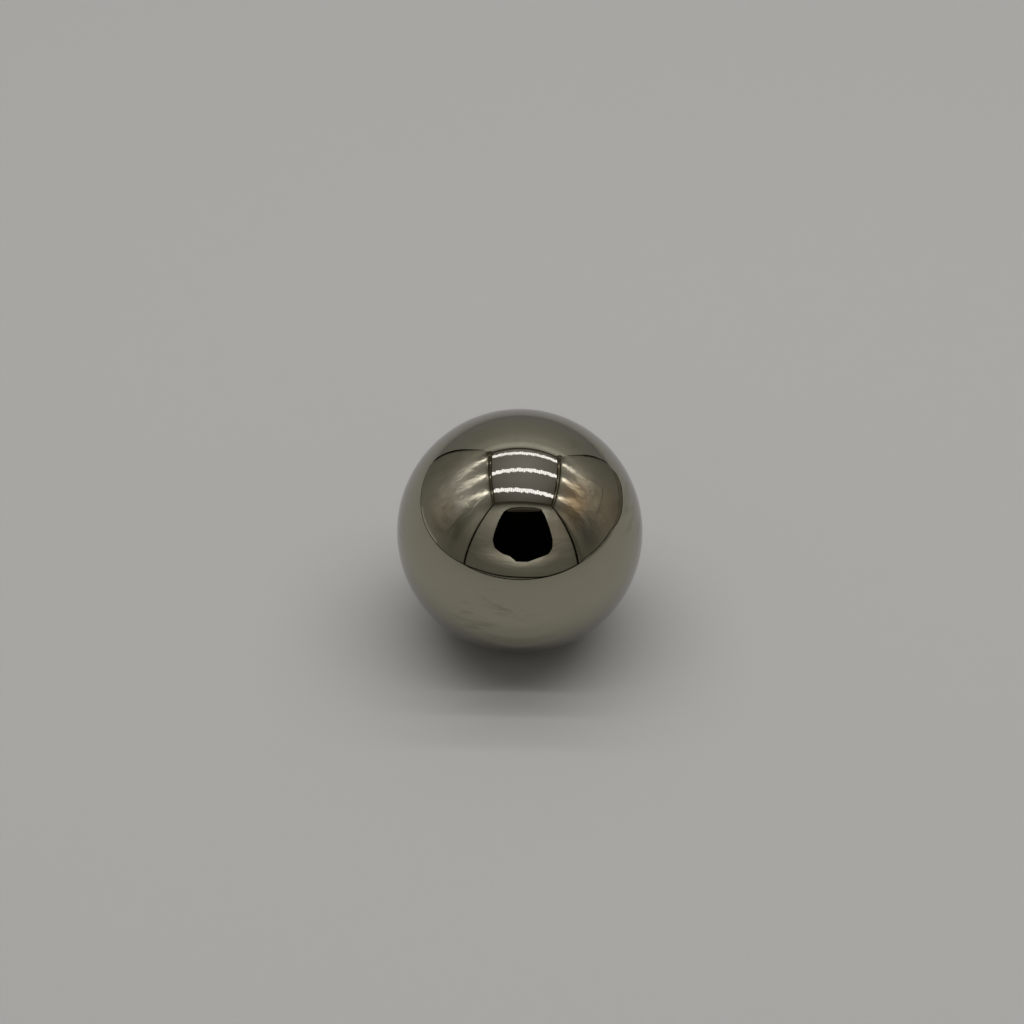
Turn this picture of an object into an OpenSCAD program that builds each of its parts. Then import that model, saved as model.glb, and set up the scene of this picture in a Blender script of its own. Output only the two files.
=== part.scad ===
// Solid steel ball, of the kind used in bearings, valves and bench fixtures.
// Millimetres, +Z up, with the origin at the centre of the ball.

/* [Ball] */
// Diameter across the ground and lapped surface
ball_d = 25.4; // [1:0.1:100]

/* [Hidden] */
// Warm grey of polished steel
steel_colour = "#9a958a";
// Segments round the equator
$fn = 180;

// One solid sphere, ground and lapped from a single slug, with no seam, flat or hole
module ball() {
    color(steel_colour)
        sphere(d = ball_d);
}

ball();
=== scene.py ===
import math

import bmesh
import bpy
from mathutils import Matrix, Quaternion, Vector


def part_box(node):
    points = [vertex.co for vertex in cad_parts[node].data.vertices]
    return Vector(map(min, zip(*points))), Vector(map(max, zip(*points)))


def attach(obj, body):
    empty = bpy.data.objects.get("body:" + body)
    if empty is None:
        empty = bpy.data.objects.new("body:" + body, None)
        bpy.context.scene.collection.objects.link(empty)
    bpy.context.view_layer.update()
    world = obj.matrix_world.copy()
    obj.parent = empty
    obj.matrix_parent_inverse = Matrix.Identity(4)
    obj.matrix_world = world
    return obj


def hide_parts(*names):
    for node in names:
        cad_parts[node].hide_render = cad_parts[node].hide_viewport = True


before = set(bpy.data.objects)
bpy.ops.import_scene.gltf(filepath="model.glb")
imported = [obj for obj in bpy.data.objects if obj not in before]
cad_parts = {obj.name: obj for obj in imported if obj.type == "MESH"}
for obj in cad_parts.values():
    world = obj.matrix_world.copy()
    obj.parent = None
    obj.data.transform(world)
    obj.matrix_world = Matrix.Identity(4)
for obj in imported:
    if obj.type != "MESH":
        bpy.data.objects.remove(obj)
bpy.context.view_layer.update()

MM = 0.001

# The ball, from the frame
ball_low, ball_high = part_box("ball")
BALL_R = (ball_high.z - ball_low.z) / 2
FLOOR_Z = ball_low.z
# So fine that no facet shows in the mirror
BALL_SUBDIVISIONS = 7

# The ball's finish: streaks of oil by their size across and up, and the patches that they lie in
STREAK_SIZE = (3.0 * MM, 0.9 * MM)
PATCH_SIZE = 7 * MM
# Shifts the patches so that they lie low on the ball's front
PATCH_SHIFT = (3.8 * MM, 45.1 * MM, 5.5 * MM)
# Levels of the noise between which the streaks and the patches fade in
STREAK_LEVELS = (0.48, 0.74)
PATCH_LEVELS = (0.52, 0.66)
# Tone and roughness, from bare steel to the thickest oil
STEEL_TONES = [(0.0, "#a5a190"), (1.0, "#8d8876")]
STEEL_ROUGHNESS = (0.03, 0.07)

# The camera, from the ball's place and size in the picture
PICTURE_PX = 1024
BALL_CENTRE_PX = (519.8, 531.5)
BALL_R_PX = 122.9
FOCAL_PX = 3100
SENSOR_W = 36.0
CAMERA_ELEVATION = math.radians(41.0)
CAMERA_ROLL = math.radians(1.1)
CAMERA_REACH = 2.0

# The light tent: a lined fabric box with a lamp board under its roof and a pale sheet inside.
# From here on measures are in mm, across and back from the ball's middle and up from the floor
TENT_LEFT = -256
TENT_RIGHT = 312
TENT_FRONT = -228
TENT_BACK = 390
TENT_H = 549

# The sheet: its front edge, its top at the left and at the right, and its bend
SHEET_FRONT = -218
SHEET_TOP = (376, 352)
SHEET_BEND_R = 30
SHEET_BEND_STEPS = 12
# Its tones, by their share of the tent's height: its own tone on the floor, and above it painted light
# and shade, palest beside the lamps
SHEET_TONES_AND_PAINTED_LIGHT = [
    (0.0, "#a7a6a4"), (0.14, "#adadac"), (0.4, "#a5a4a0"), (0.7, "#a09f99"), (1.0, "#ffffff"),
]
# Its standing edges along the left and the right wall: back, up, and the width of their binding
LEFT_EDGE = [
    (312, 0, 16), (317, 60, 16), (317, 150, 14), (319, 227, 12),
    (326, 289, 9), (344, 363, 6), (362, 423, 4),
]
RIGHT_EDGE = [
    (392, 0, 10), (374, 90, 15), (366, 140, 15), (354, 214, 9),
    (346, 285, 7), (347, 340, 5), (350, 386, 4),
]
# Its side edges, which curl up against the feet of the walls: back and up
LEFT_FOOT = [(-228, 2), (-127, 0), (312, 0)]
RIGHT_FOOT = [(-228, 0), (-182, 14), (13, 14)]
CURL_GAP = 1
# Edge of the slack lining that lies on it at the right: across, back and up
SLACK_EDGE = [
    (312, 13, 14), (230, 45, 3), (181, 60, 1), (149, 67, 1), (136, 82, 1),
    (106, 92, 1), (113, 119, 1), (221, 252, 1), (312, 352, 1),
]

# The seams, by their cloths
SEAM_CLOTHS = [
    ("seam_binding", "#1c1810"),
    ("wide_binding", "#79736a"),
    ("piping", "#f0ede6"),
    # The crease's darker colour is painted shade of the fold
    ("crease_painted_shade", "#a39d92"),
    ("dark_binding", "#38332a"),
]
BINDING, WIDE_BINDING, PIPING, CREASE_PAINTED_SHADE, DARK_BINDING = range(len(SEAM_CLOTHS))
# Binding beside the lamp board: half its width, and how far it hangs down at the left and at the right
ROOF_SEAM_HALF_W = 16
ROOF_SEAM_DROP = (27, 50)
# Dark upper part of the right one
DARK_SEAM_DROP = 30
DARK_SEAM_PROUD = 1
# Binding behind the lamp board, at its left and its right end
BACK_SEAM_Y = (352, 345)
BACK_SEAM_W = 26
# Joints at the board's back corners, by two opposite corners of each
CORNER_JOINTS = [((-264, 300, 480), (-228, 354, 549)), ((286, 322, 466), (304, 352, 549))]
# Binding along the sides of the front panel, which is narrower at its foot
FRONT_SEAM_W = 13
FRONT_FOOT_RIGHT = 292
# Binding along the front panel's foot: across and up
FRONT_FOOT = [(-256, 2), (-150, 9), (5, 10), (100, 3), (292, 3)]
FOOT_SEAM_W = 5
SLACK_SEAM_W = 2
# Pale piping along the left wall, and a crease along the right one, a raised bar whose darker colour is
# painted shade of the fold: from, to, and up
PIPING_LINE = (-48, 98, 6.5)
CREASE_LINE = (-40, 145, 118)
WALL_LINE_W = 6

# The lamp board
BOARD_LEFT = -227
BOARD_RIGHT = 294
BOARD_MIDDLE = (BOARD_LEFT + BOARD_RIGHT) / 2
BOARD_FRONT = -204
BOARD_BACK = 342
BOARD_Z = 537
BOARD_T = 4
# Its brightest place from the ball's middle, how far its painted light reaches, and its tones of painted
# light and shade up to there
BOARD_BRIGHT = (20, 120, 0)
BOARD_REACH = (420, 450, 10000)
BOARD_PAINTED_LIGHT_TONES = [(0.05, "#8c857c"), (0.45, "#cfccd2"), (0.9, "#f3f0f9")]
# Strength of the board's painted glow, though it is no lamp
BOARD_PAINTED_GLOW = 0.06

# The rows of lamps, from the front one to the back one: how far back they lie, and how they are turned
ROW_Y = (-102, 88, 278)
ROW_TURN = (math.radians(-3.4), math.radians(1.0), math.radians(-1.1))
LAMPS_IN_ROW = 32
LAMP_L = 13.2
# Widths of the lamps, and how many small steps they stand to and fro, which repeat along a row
LAMP_WIDTHS = (29, 34, 39, 31.5, 36.5)
LAMP_STEPS = (-3, 2, 0, -2, 3, 1, -1)
STEP_L = 4 / 3
LAMP_LOW_Z = 535
LAMP_HIGH_Z = 536
LAMP_COLOUR = "#ecedff"
LAMP_STRENGTH = 3.3
# Light of a row on the tent's cloth, which mirrors it as streaks
ROW_LIGHT_W = 24
ROW_LIGHT_Z = 534
ROW_LIGHT_WATTS = 0.3
# Soft lamps for the sheet, longer than the rows because the silver walls mirror the rows on
SOFT_LAMP_Y = (-100, 56, 212)
SOFT_LAMP_L = 800
SOFT_LAMP_W = 18
SOFT_LAMP_Z = 535
SOFT_LAMP_WATTS = 0.95
WORLD_STRENGTH = 0.82

# The opening in the front panel, by its corners: across and up
OPENING_CORNERS = [
    (-102, 418), (-67, 450), (1, 464), (118, 468), (166, 445), (170, 366), (163, 240),
    (156, 161), (142, 119), (117, 93), (70, 80), (24, 65), (-18, 68), (-34, 87),
    (-63, 95), (-102, 118), (-121, 155), (-125, 197), (-125, 288), (-118, 389),
]
OPENING_ROUND = 6
OPENING_ROUND_STEPS = 4
OPENING_PROUD = 2
# The panel's cloth swells out in a fold under it: across, the fold's top, its ridge, and its swell
FOLD = [
    (-187, 65, 30, 4), (-135, 81, 38, 7), (-100, 95, 36, 12), (-63, 95, 37, 19), (-34, 87, 40, 17),
    (-11, 68, 47, 9), (31, 67, 50, 9), (70, 80, 51, 13), (105, 88, 51, 11), (160, 87, 47, 4),
]
FOLD_FOOT = 10
FOLD_FOOT_PROUD = 1
# Its flap, rolled up along its top, by the roll's ends: across and up
FLAP_ENDS = [(-92, 396), (154, 420)]
FLAP_W = 40
# The order of its materials: the panel's lining, the dark opening and the flap
LINING_SLOT, DARK_SLOT, FLAP_SLOT = range(3)

# The silver lining of the sides and of the front panel: colour and roughness
SIDE_LINING = ("#c1bfba", 0.29)
FRONT_LINING = ("#bab8b3", 0.45)
# Its creases by their size across, up and in depth: hanging ones, and those across the front panel
HANGING_CREASES = (40, 90, 5)
CROSS_CREASES = (80, 20, 3.5)
# Spots in its colour: one brown patch of worn coating on the right wall, and the others painted shade
# where darker, painted light where paler, and under the opening a painted highlight. Each: colour, middle
# from the ball's middle, and reach
LEFT_PAINTED_LIGHT_SPOTS = [
    # Painted shade, low towards the front
    ("#b0aea8", (-256, -105, 79), (130, 130, 130)),
    # Painted light, paler near the floor
    ("#dcdad5", (-256, 40, 50), (100, 170, 100)),
]
RIGHT_WEAR_AND_PAINTED_LIGHT_SPOTS = [
    # Worn coating, brown, in the middle of the wall
    ("#a8947d", (312, -50, 268), (250, 250, 250)),
    # Painted shade, low towards the front
    ("#a6a49f", (312, -125, 76), (150, 150, 150)),
    # Painted light, paler near the floor
    ("#d0c7ba", (312, 75, 50), (100, 170, 100)),
]
FRONT_PAINTED_LIGHT_SPOTS = [
    # Painted shade at the left
    ("#afada8", (-170, -228, 115), (110, 100, 130)),
    # Painted light at the right
    ("#cbc9c4", (211, -228, 145), (110, 100, 130)),
    # Painted highlight under the opening
    ("#f2f0ea", (-5, -228, 78), (200, 100, 55)),
]
# Share of a spot's reach over which it fades
SPOT_FADE = 0.8


def at(x, y, z):
    """A place in metres, from mm across and back from the ball's middle and up from the floor."""
    return Vector((x * MM, y * MM, FLOOR_Z + z * MM))


def linear(hex_colour):
    """An sRGB hex value as linear RGBA."""
    parts = [int(hex_colour[i : i + 2], 16) / 255 for i in (1, 3, 5)]
    return (*[c / 12.92 if c <= 0.04045 else ((c + 0.055) / 1.055) ** 2.4 for c in parts], 1.0)


def add(tree, kind, inputs=None, stops=(), **settings):
    """Adds a node with its settings; an input is a value or a socket, and stops are a colour ramp's."""
    node = tree.nodes.new("ShaderNode" + kind)
    for name, value in settings.items():
        setattr(node, name, value)
    for name, value in (inputs or {}).items():
        if isinstance(value, bpy.types.NodeSocket):
            tree.links.new(value, node.inputs[name])
        else:
            node.inputs[name].default_value = value
    # A new ramp has two stops, so the others are added before all are set
    ramp = node.color_ramp.elements if stops else []
    while len(ramp) < len(stops):
        ramp.new(1.0)
    for stop, (position, colour) in zip(ramp, stops):
        stop.position = position
        stop.color = linear(colour)
    return node


def new_material(name):
    """A named material with its node tree and its shader."""
    material = bpy.data.materials.new(name)
    material.use_nodes = True
    tree = material.node_tree
    return material, tree, tree.nodes["Principled BSDF"]


def nearness(tree, middle, reach):
    """A share that grows from 0 at a spot's reach to 1 at its middle."""
    place = add(tree, "TexCoord").outputs["Object"]
    spot = {"Vector": place, "Location": Vector(middle) * MM, "Scale": Vector(reach) * MM}
    spot_place = add(tree, "Mapping", spot, vector_type="TEXTURE").outputs["Vector"]
    return add(tree, "TexGradient", {"Vector": spot_place}, gradient_type="SPHERICAL").outputs["Fac"]


def lapped_steel():
    # Bearing steel lapped to a mirror: warm grey, with a wiped film of oil that dulls it in soft streaks
    material, tree, shader = new_material("lapped_steel")
    shader.inputs["Metallic"].default_value = 1.0
    shader.inputs["Specular Tint"].default_value = linear("#f2f3f9")
    place = add(tree, "TexCoord").outputs["Object"]
    across, up = STREAK_SIZE
    streak_scale = (1 / across, 1 / across, 1 / up)
    streak_place = add(tree, "Mapping", {"Vector": place, "Scale": streak_scale}).outputs["Vector"]
    wiped = {"Vector": streak_place, "Scale": 1.0, "Detail": 3.0, "Distortion": 0.7}
    streaks = add(tree, "TexNoise", wiped).outputs["Fac"]
    patch_place = add(tree, "Mapping", {"Vector": place, "Location": PATCH_SHIFT}).outputs["Vector"]
    patchy = {"Vector": patch_place, "Scale": 1 / PATCH_SIZE, "Detail": 1.0}
    patches = add(tree, "TexNoise", patchy).outputs["Fac"]
    # Oil lies where a streak crosses a patch
    shares = []
    for noise, (bare, full) in ((streaks, STREAK_LEVELS), (patches, PATCH_LEVELS)):
        share = add(tree, "MapRange", {"Value": noise, "From Min": bare, "From Max": full})
        shares.append(share.outputs["Result"])
    oil = add(tree, "Math", {0: shares[0], 1: shares[1]}, operation="MULTIPLY").outputs["Value"]
    tone = add(tree, "ValToRGB", {"Fac": oil}, STEEL_TONES)
    tree.links.new(tone.outputs["Color"], shader.inputs["Base Color"])
    bare, oiled = STEEL_ROUGHNESS
    gloss = add(tree, "MapRange", {"Value": oil, "To Min": bare, "To Max": oiled})
    tree.links.new(gloss.outputs["Result"], shader.inputs["Roughness"])
    return material


def matt_sheet():
    # Smooth matt plastic sheet, pale grey as the camera exposes it
    material, tree, shader = new_material("matt_plastic_sheet")
    shader.inputs["Roughness"].default_value = 0.7
    # Where it stands up at the back its tone is painted light and shade that changes with height, palest
    # beside the lamps
    height = add(tree, "SeparateXYZ", {"Vector": add(tree, "TexCoord").outputs["Object"]}).outputs["Z"]
    span = {"Value": height, "From Min": FLOOR_Z, "From Max": FLOOR_Z + TENT_H * MM}
    share = add(tree, "MapRange", span).outputs["Result"]
    tone = add(tree, "ValToRGB", {"Fac": share}, SHEET_TONES_AND_PAINTED_LIGHT)
    tree.links.new(tone.outputs["Color"], shader.inputs["Base Color"])
    return material


def silver_lining(name, colour, roughness, creases, spots):
    # Metal-coated cloth, creased, which smears the lamps into streaks
    material, tree, shader = new_material(name)
    shader.inputs["Metallic"].default_value = 0.62
    shader.inputs["Roughness"].default_value = roughness
    tone = linear(colour)
    # Spots of painted light and shade, and one of wear, mixed into its colour
    for spot_colour, middle, reach in spots:
        near = nearness(tree, middle, reach)
        share = add(tree, "MapRange", {"Value": near, "From Max": SPOT_FADE}).outputs["Result"]
        # A colour mix has its share in socket 0, its colours in 6 and 7, and its result in output 2
        tone = add(tree, "Mix", {0: share, 6: tone, 7: linear(spot_colour)}, data_type="RGBA").outputs[2]
    tree.links.new(tone, shader.inputs["Base Color"])
    place = add(tree, "TexCoord").outputs["Object"]
    across, up, depth = (size * MM for size in creases)
    crease_scale = (1 / across, 1 / across, 1 / up)
    crease_place = add(tree, "Mapping", {"Vector": place, "Scale": crease_scale}).outputs["Vector"]
    creased = {"Vector": crease_place, "Scale": 1.0, "Detail": 2.0, "Distortion": 0.4}
    crease = add(tree, "TexNoise", creased).outputs["Fac"]
    bump = add(tree, "Bump", {"Height": crease, "Strength": 1.0, "Distance": depth})
    tree.links.new(bump.outputs["Normal"], shader.inputs["Normal"])
    return material


def lamp_board():
    # White-painted board, faintly purple beside the lamps
    material, tree, shader = new_material("lamp_board")
    shader.inputs["Roughness"].default_value = 0.9
    shader.inputs["Specular IOR Level"].default_value = 0.0
    # Its colour is painted darker towards its edges, and most towards the front, as painted shade where
    # the opening throws no light back
    tone = add(tree, "ValToRGB", {"Fac": nearness(tree, BOARD_BRIGHT, BOARD_REACH)}, BOARD_PAINTED_LIGHT_TONES)
    tree.links.new(tone.outputs["Color"], shader.inputs["Base Color"])
    # Painted glow: it gives off faint light in its own colour, which stands in for light falling on it
    tree.links.new(tone.outputs["Color"], shader.inputs["Emission Color"])
    shader.inputs["Emission Strength"].default_value = BOARD_PAINTED_GLOW
    return material


def lamp():
    # Cool white light of the lamps
    material, _, shader = new_material("lamp")
    shader.inputs["Base Color"].default_value = linear("#000000")
    shader.inputs["Specular IOR Level"].default_value = 0.0
    shader.inputs["Emission Color"].default_value = linear(LAMP_COLOUR)
    shader.inputs["Emission Strength"].default_value = LAMP_STRENGTH
    return material


def dull_cloth(name, colour):
    # Cloth without any gloss, as of the seams, the roof and the flap, and the near-black sheet across the
    # opening, which is painted shade of the dim room beyond it
    material, _, shader = new_material(name)
    shader.inputs["Base Color"].default_value = linear(colour)
    shader.inputs["Roughness"].default_value = 0.9
    shader.inputs["Specular IOR Level"].default_value = 0.0
    return material


def put(name, bm, *materials, smooth=False):
    """Makes an object of a bmesh."""
    for face in bm.faces:
        face.smooth = smooth
    mesh = bpy.data.meshes.new(name)
    bm.to_mesh(mesh)
    bm.free()
    for material in materials:
        mesh.materials.append(material)
    thing = bpy.data.objects.new(name, mesh)
    bpy.context.scene.collection.objects.link(thing)
    return thing


def paint(verts, slot):
    """Gives the faces at some vertices one of their object's materials."""
    for face in {face for vert in verts for face in vert.link_faces}:
        face.material_index = slot


def add_box(bm, low, high, slot=0, turn=0.0):
    """Adds a box between two corners, turned about its own upright axis."""
    low = at(*low)
    high = at(*high)
    place = Matrix.Translation((low + high) / 2) @ Matrix.Rotation(turn, 4, "Z")
    box = bmesh.ops.create_cube(bm, size=1.0, matrix=place @ Matrix.Diagonal((*(high - low), 1.0)))
    paint(box["verts"], slot)


def between(start, end, width):
    """Lays an upright shape of size 1 from one place to another, with a width."""
    start = at(*start)
    end = at(*end)
    turn = (end - start).to_track_quat("Z", "Y").to_matrix().to_4x4()
    size = Matrix.Diagonal((width * MM, width * MM, (end - start).length, 1.0))
    return Matrix.Translation((start + end) / 2) @ turn @ size


def add_bar(bm, start, end, width, slot=0):
    """Adds a square bar from one place to another."""
    bar = bmesh.ops.create_cube(bm, size=1.0, matrix=between(start, end, width))
    paint(bar["verts"], slot)


def add_panel(bm, corners, slot=0):
    """Adds one face by its corners."""
    verts = [bm.verts.new(at(*corner)) for corner in corners]
    bm.faces.new(verts).material_index = slot
    return verts


def add_strip(bm, rows, slot=0):
    """Adds cloth that runs through rows of places, each from left to right, and gives the rows' edges."""
    verts = [bm.verts.new(at(*place)) for place in rows[0]]
    row_edges = [[bm.edges.new(ends) for ends in zip(verts, verts[1:])]]
    for row in rows[1:]:
        made = bmesh.ops.extrude_edge_only(bm, edges=row_edges[-1])["geom"]
        verts = [part for part in made if isinstance(part, bmesh.types.BMVert)]
        verts.sort(key=lambda vert: vert.co.x)
        for vert, place in zip(verts, row):
            vert.co = at(*place)
        paint(verts, slot)
        row_edges.append([bm.edges.get(ends) for ends in zip(verts, verts[1:])])
    return row_edges


def tent_walls(front_lining):
    """The sides, the front and the roof of the tent, which face inwards."""
    bm = bmesh.new()
    add_box(bm, (TENT_LEFT, TENT_FRONT, 0), (TENT_RIGHT, TENT_BACK, TENT_H))
    bmesh.ops.reverse_faces(bm, faces=bm.faces[:])
    bm.normal_update()
    # The way that the left wall, the right wall, the roof and the front panel face
    for slot, way in enumerate(((1, 0, 0), (-1, 0, 0), (0, 0, -1), (0, 1, 0))):
        for face in bm.faces:
            if round(face.normal.dot(way)) == 1:
                face.material_index = slot
    floor = [face for face in bm.faces if round(face.normal.z) == 1]
    bmesh.ops.delete(bm, geom=floor, context="FACES_ONLY")
    left = silver_lining("silver_lining", *SIDE_LINING, HANGING_CREASES, LEFT_PAINTED_LIGHT_SPOTS)
    right = silver_lining("warm_silver_lining", *SIDE_LINING, HANGING_CREASES, RIGHT_WEAR_AND_PAINTED_LIGHT_SPOTS)
    return put("tent_walls", bm, left, right, dull_cloth("roof_cloth", "#776f63"), front_lining)


def sheet(plastic):
    """The pale sheet, flat under the ball and bent up in front of the back wall."""
    bm = bmesh.new()
    sides = []
    for x, edge, top in zip((TENT_LEFT, TENT_RIGHT), (LEFT_EDGE, RIGHT_EDGE), SHEET_TOP):
        standing = [(x, y, z) for y, z, _ in reversed(edge)]
        sides.append([(x, top, TENT_H), *standing, (x, SHEET_FRONT, 0)])
    rows = add_strip(bm, list(zip(*sides)))
    # It bends along the last row but one, where it comes down to the floor
    bend = {"offset": SHEET_BEND_R * MM, "segments": SHEET_BEND_STEPS, "profile": 0.5, "material": -1}
    bmesh.ops.bevel(bm, geom=rows[-2], affect="EDGES", offset_type="OFFSET", **bend)
    return put("sheet", bm, plastic, smooth=True)


def sheet_curls(plastic):
    """The sheet's side edges, curled up against the walls, and the slack lining that lies on it."""
    bm = bmesh.new()
    for x, foot in ((TENT_LEFT + CURL_GAP, LEFT_FOOT), (TENT_RIGHT - CURL_GAP, RIGHT_FOOT)):
        under = [(foot[end][0], -CURL_GAP) for end in (-1, 0)]
        add_panel(bm, [(x, y, z) for y, z in foot + under])
    add_panel(bm, SLACK_EDGE, slot=1)
    return put("sheet_curls", bm, plastic, dull_cloth("slack_lining", "#6f6a60"))


def tent_seams():
    """Binding along the edges of the tent and of the sheet, with pale piping and a crease."""
    bm = bmesh.new()
    # Beside and behind the lamp board the binding is wide and brown
    for x, drop in zip((TENT_LEFT, TENT_RIGHT), ROOF_SEAM_DROP):
        low = (x - ROOF_SEAM_HALF_W, BOARD_FRONT, TENT_H - drop)
        add_box(bm, low, (x + ROOF_SEAM_HALF_W, TENT_BACK, TENT_H), WIDE_BINDING)
    back = [(TENT_LEFT, BACK_SEAM_Y[0], TENT_H), (TENT_RIGHT, BACK_SEAM_Y[1], TENT_H)]
    add_bar(bm, *back, BACK_SEAM_W, WIDE_BINDING)
    for low, high in CORNER_JOINTS:
        add_box(bm, low, high, WIDE_BINDING)
    low = (TENT_RIGHT - ROOF_SEAM_HALF_W - DARK_SEAM_PROUD, BOARD_FRONT, TENT_H - DARK_SEAM_DROP)
    add_box(bm, low, (TENT_RIGHT, TENT_BACK, TENT_H), DARK_BINDING)
    for x, line, slot in ((TENT_LEFT, PIPING_LINE, PIPING), (TENT_RIGHT, CREASE_LINE, CREASE_PAINTED_SHADE)):
        start, end, z = line
        add_bar(bm, (x, start, z), (x, end, z), WALL_LINE_W, slot)
    for x, edge in ((TENT_LEFT, LEFT_EDGE), (TENT_RIGHT, RIGHT_EDGE)):
        for (y, z, width), (next_y, next_z, _) in zip(edge, edge[1:]):
            add_bar(bm, (x, y, z), (x, next_y, next_z), width, BINDING)
    for foot, top in ((TENT_LEFT, TENT_LEFT), (FRONT_FOOT_RIGHT, TENT_RIGHT)):
        add_bar(bm, (foot, TENT_FRONT, 0), (top, TENT_FRONT, TENT_H), FRONT_SEAM_W, BINDING)
    # The front panel's foot is a double line that closes towards the right
    feet = [
        [(x, TENT_FRONT, z) for x, z in FRONT_FOOT],
        [(x, TENT_FRONT, 0) for x in (TENT_LEFT, TENT_RIGHT)],
        [(TENT_LEFT, y, z) for y, z in LEFT_FOOT],
        [(TENT_RIGHT, y, z) for y, z in RIGHT_FOOT],
    ]
    for line, width in (*[(foot, FOOT_SEAM_W) for foot in feet], (SLACK_EDGE, SLACK_SEAM_W)):
        for start, end in zip(line, line[1:]):
            add_bar(bm, start, end, width, BINDING)
    return put("tent_seams", bm, *[dull_cloth(name, colour) for name, colour in SEAM_CLOTHS])


def board():
    """The board that carries the lamps."""
    bm = bmesh.new()
    add_box(bm, (BOARD_LEFT, BOARD_FRONT, BOARD_Z), (BOARD_RIGHT, BOARD_BACK, BOARD_Z + BOARD_T))
    return put("lamp_board", bm, lamp_board())


def lamp_rows():
    """Rows of lamps under the board, staggered to and fro and not all of one width."""
    bm = bmesh.new()
    pitch = (BOARD_RIGHT - BOARD_LEFT) / LAMPS_IN_ROW
    for row, (row_y, turn) in enumerate(zip(ROW_Y, ROW_TURN)):
        for place in range(LAMPS_IN_ROW):
            along = (place + 0.5) * pitch + BOARD_LEFT - BOARD_MIDDLE
            x = BOARD_MIDDLE + along * math.cos(turn)
            # Each row starts its widths and its steps one lamp later than the row before it
            y = row_y + along * math.sin(turn) + STEP_L * LAMP_STEPS[(place - row) % len(LAMP_STEPS)]
            width = LAMP_WIDTHS[(place - row) % len(LAMP_WIDTHS)]
            low = (x - LAMP_L / 2, y - width / 2, LAMP_LOW_Z)
            high = (x + LAMP_L / 2, y + width / 2, LAMP_HIGH_Z)
            add_box(bm, low, high, turn=turn)
    return put("lamp_rows", bm, lamp())


def opening(front_lining):
    """The dark opening in the front panel, over a fold of its cloth and with a rolled flap."""
    bm = bmesh.new()
    y = TENT_FRONT + OPENING_PROUD
    corners = add_panel(bm, [(x, y, z) for x, z in OPENING_CORNERS], DARK_SLOT)
    steps = OPENING_ROUND_STEPS
    rounded = {"offset": OPENING_ROUND * MM, "segments": steps, "profile": 0.5, "material": -1}
    bmesh.ops.bevel(bm, geom=corners, affect="VERTICES", offset_type="OFFSET", **rounded)
    # The fold, from its top over its ridge to its foot
    fold = [
        [(x, y, top) for x, top, _, _ in FOLD],
        [(x, TENT_FRONT + swell, ridge) for x, _, ridge, swell in FOLD],
        [(x, TENT_FRONT + FOLD_FOOT_PROUD, FOLD_FOOT) for x, _, _, _ in FOLD],
    ]
    add_strip(bm, fold, LINING_SLOT)
    # The flap's roll tapers to both ends
    roll_place = between(*[(x, y, z) for x, z in FLAP_ENDS], FLAP_W)
    roll = bmesh.ops.create_uvsphere(bm, u_segments=24, v_segments=12, radius=0.5, matrix=roll_place)
    paint(roll["verts"], FLAP_SLOT)
    # Near-black sheet across the opening: painted shade of the dim room beyond it
    dark = dull_cloth("opening_painted_shade", "#040404")
    return put("opening", bm, front_lining, dark, dull_cloth("flap_lining", "#5f5a54"), smooth=True)


def steel_ball():
    """The ball itself, a true sphere in the CAD ball's place."""
    bm = bmesh.new()
    bmesh.ops.create_icosphere(bm, subdivisions=BALL_SUBDIVISIONS, radius=BALL_R)
    ball = put("steel_ball", bm, lapped_steel(), smooth=True)
    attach(ball, "root")
    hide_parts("ball")


def camera():
    """A camera that sees the ball at its place and size in the picture."""
    back = Vector((0.0, -math.cos(CAMERA_ELEVATION), math.sin(CAMERA_ELEVATION)))
    distance = BALL_R / math.sin(math.atan(BALL_R_PX / FOCAL_PX))
    middle = PICTURE_PX / 2
    seen = Vector((BALL_CENTRE_PX[0] - middle, middle - BALL_CENTRE_PX[1], -FOCAL_PX))
    off_axis = seen.rotation_difference(Vector((0.0, 0.0, -1.0)))
    data = bpy.data.cameras.new("camera")
    data.sensor_width = SENSOR_W
    data.lens = SENSOR_W * FOCAL_PX / PICTURE_PX
    data.clip_start = BALL_R
    data.clip_end = CAMERA_REACH
    eye = bpy.data.objects.new("camera", data)
    eye.location = back * distance
    eye.rotation_mode = "QUATERNION"
    roll = Quaternion((0.0, 0.0, 1.0), CAMERA_ROLL)
    eye.rotation_quaternion = (-back).to_track_quat("-Z", "Y") @ roll @ off_axis
    bpy.context.scene.collection.objects.link(eye)
    bpy.context.scene.camera = eye


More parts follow.
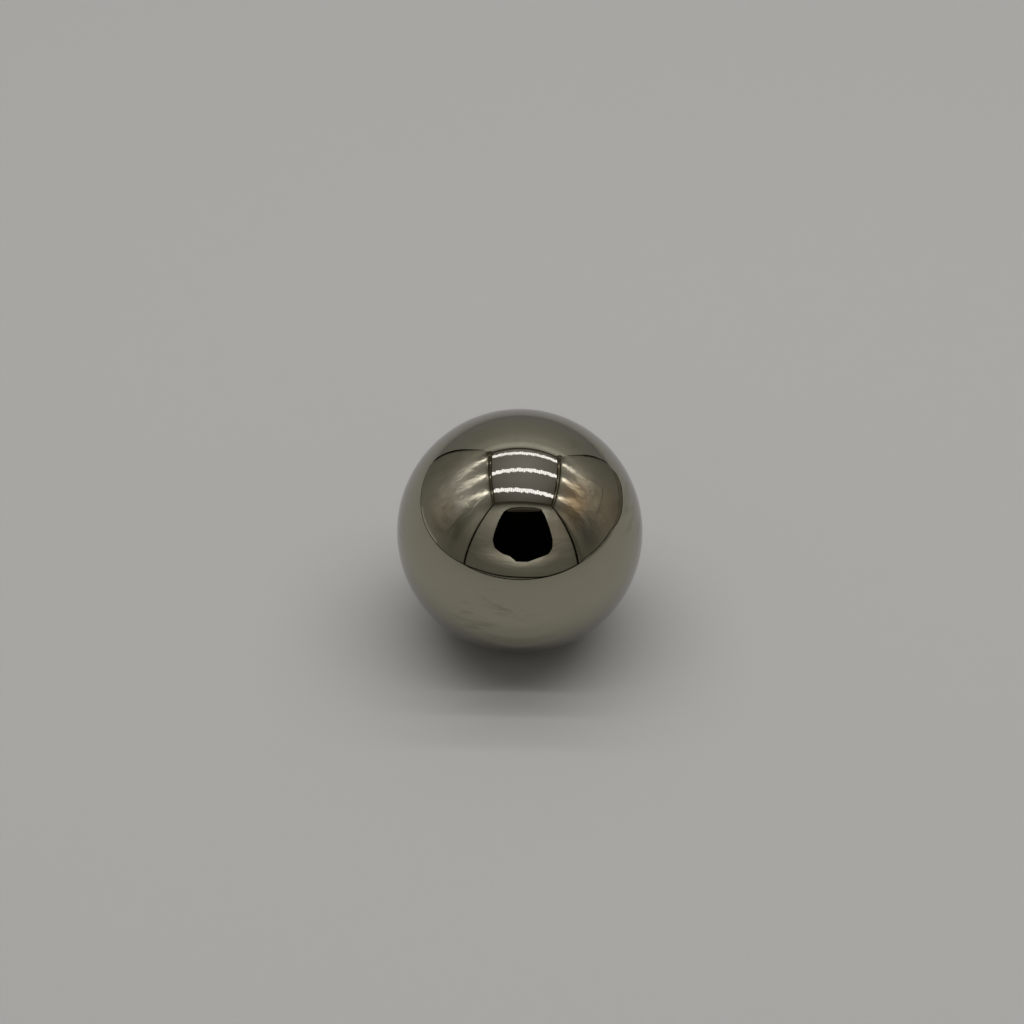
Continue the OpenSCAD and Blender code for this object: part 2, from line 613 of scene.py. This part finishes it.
def strip_lamp(name, length, width, watts, y, z):
    """A long lamp that shines straight down and is not seen itself."""
    data = bpy.data.lights.new(name, "AREA")
    data.shape = "RECTANGLE"
    data.size = length * MM
    data.size_y = width * MM
    data.energy = watts
    strip = bpy.data.objects.new(name, data)
    strip.location = at(BOARD_MIDDLE, y, z)
    strip.visible_camera = False
    bpy.context.scene.collection.objects.link(strip)
    return strip


def soft_lamps():
    """Long lamps over the sheet, which the ball does not mirror."""
    for y in SOFT_LAMP_Y:
        strip = strip_lamp("soft_lamp", SOFT_LAMP_L, SOFT_LAMP_W, SOFT_LAMP_WATTS, y, SOFT_LAMP_Z)
        strip.visible_glossy = False


def row_light(cloth_pieces):
    """Strips in place of the rows that light the tent's cloth alone."""
    cloth = bpy.data.collections.new("tent_cloth")
    for piece in cloth_pieces:
        cloth.objects.link(piece)
    length = BOARD_RIGHT - BOARD_LEFT
    for y, turn in zip(ROW_Y, ROW_TURN):
        strip = strip_lamp("row_light", length, ROW_LIGHT_W, ROW_LIGHT_WATTS, y, ROW_LIGHT_Z)
        strip.rotation_euler.z = turn
        strip.visible_diffuse = False
        strip.light_linking.receiver_collection = cloth


def surroundings():
    """Faint even light from all round."""
    world = bpy.data.worlds.new("pale_surroundings")
    world.use_nodes = True
    world.node_tree.nodes["Background"].inputs["Color"].default_value = linear("#a8a7a3")
    world.node_tree.nodes["Background"].inputs["Strength"].default_value = WORLD_STRENGTH
    world.cycles.sampling_method = "NONE"
    bpy.context.scene.world = world


camera()
steel_ball()
sheet_plastic = matt_sheet()
sheet(sheet_plastic)
front_lining = silver_lining("front_silver_lining", *FRONT_LINING, CROSS_CREASES, FRONT_PAINTED_LIGHT_SPOTS)
walls = tent_walls(front_lining)
front_opening = opening(front_lining)
# The tent shows only in the ball
for part in (walls, sheet_curls(sheet_plastic), tent_seams(), board(), lamp_rows(), front_opening):
    part.visible_camera = False
    part.visible_diffuse = False
    part.visible_shadow = False
soft_lamps()
row_light([walls, front_opening])
surroundings()
bpy.context.scene.view_settings.view_transform = "Standard"
